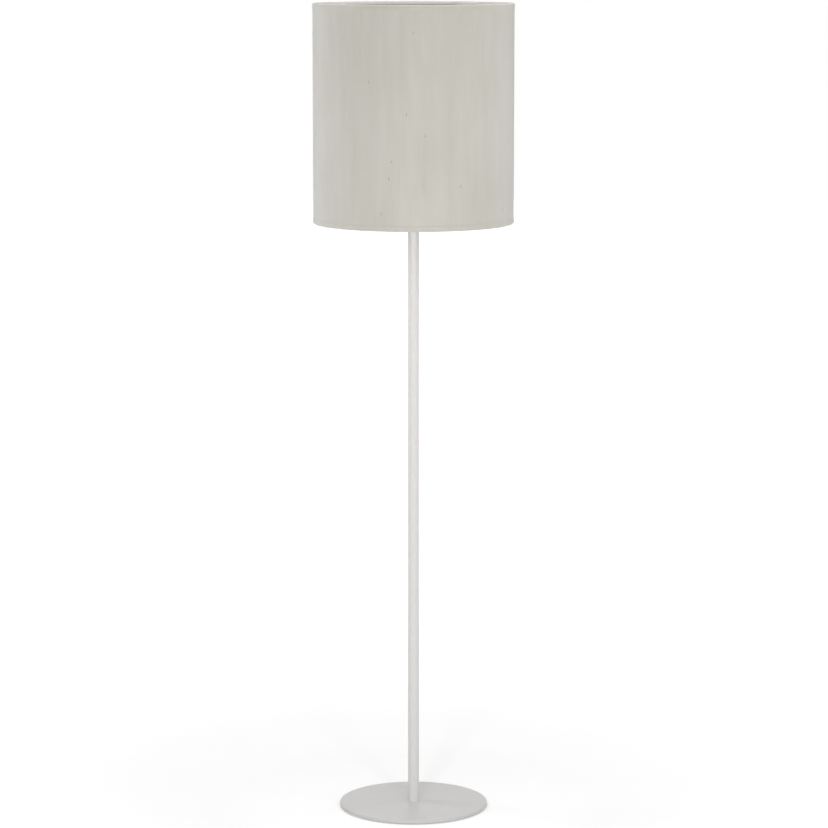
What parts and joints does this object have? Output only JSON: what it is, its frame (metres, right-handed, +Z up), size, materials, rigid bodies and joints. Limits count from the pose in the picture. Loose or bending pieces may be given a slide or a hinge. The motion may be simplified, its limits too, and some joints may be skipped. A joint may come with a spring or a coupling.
{
  "type": "column floor lamp",
  "caption": "Column floor lamp with a round steel foot, a slim tubular stem and a tall fabric drum shade over a screw-base bulb.",
  "frame": {"origin": "centre of the felt's underside, where the lamp stands on the floor", "axes": "+Z up along the stem, +Y to the back where the cable inlet and the shade's seam are, +X to the right of someone who faces the lamp"},
  "size_m": [0.4, 0.4, 1.6283],
  "materials": {
    "foot_enamel": "off-white powder coat, satin",
    "stem_enamel": "off-white powder coat, satin",
    "wire_enamel": "white dip coat, satin",
    "felt": "pressed felt, matt",
    "zinc_steel": "zinc plated",
    "nickel": "nickel plated sheet",
    "brass": "bare brass",
    "holder_plastic": "white moulded plastic, slightly glossy",
    "inlet_plastic": "off-white moulded plastic, matt",
    "ceramic": "unglazed white steatite",
    "shade_fabric": "woven slub linen look, off-white, matt",
    "shade_lining": "stiff translucent white lining film",
    "bulb_insulator": "black moulded insulator",
    "bulb_housing": "white moulded plastic, satin",
    "board": "white printed aluminium board",
    "bulb_diffuser": "opal white diffuser, satin"
  },
  "bodies": {
    "stand": {"base_plate": "foot_enamel", "base_felt": "felt", "foot_screw": "zinc_steel", "foot_insert": "zinc_steel", "lower_tube": "stem_enamel", "cable_inlet": "inlet_plastic", "lower_joint_bush": "zinc_steel", "joint_nipple": "brass", "upper_joint_bush": "zinc_steel", "upper_tube": "stem_enamel", "top_bush": "stem_enamel", "top_nipple": "brass", "holder_cap": "holder_plastic", "neck_screw": "zinc_steel", "contact_block": "ceramic", "terminal_blocks": "brass", "terminal_screws": "zinc_steel", "screw_sleeve": "brass", "centre_contact": "brass", "switch_springs": "brass", "holder_mantle": "holder_plastic"},
    "switch": {"switch_bar": "holder_plastic"},
    "ring_nut": {"shade_ring": "holder_plastic"},
    "shade": {"shade_fabric": "shade_fabric", "shade_lining": "shade_lining", "top_hem": "shade_fabric", "bottom_hem": "shade_fabric", "back_seam": "shade_fabric", "top_wire_ring": "wire_enamel", "bottom_wire_ring": "wire_enamel", "carrier_arms": "wire_enamel", "carrier_ring": "wire_enamel"},
    "bulb": {"bulb_contact": "zinc_steel", "bulb_insulator": "bulb_insulator", "bulb_cap": "nickel", "bulb_neck": "bulb_housing", "led_board": "board", "bulb_globe": "bulb_diffuser"}
  },
  "joints": [
    {"name": "switch_push", "type": "slide", "parent": "stand", "child": "switch", "axis": [1, 0, 0], "range_m": [0, 0.006]},
    {"name": "ring_unscrew", "type": "slide", "parent": "stand", "child": "ring_nut", "axis": [0, 0, 1], "range_m": [0, 0.033]},
    {"name": "shade_turn", "type": "hinge", "parent": "stand", "child": "shade", "pos_m": [0, 0, 1.244], "axis": [0, 0, 1], "continuous": true},
    {"name": "bulb_unscrew", "type": "slide", "parent": "stand", "child": "bulb", "axis": [0, 0, 1], "range_m": [0, 0.03]}
  ]
}
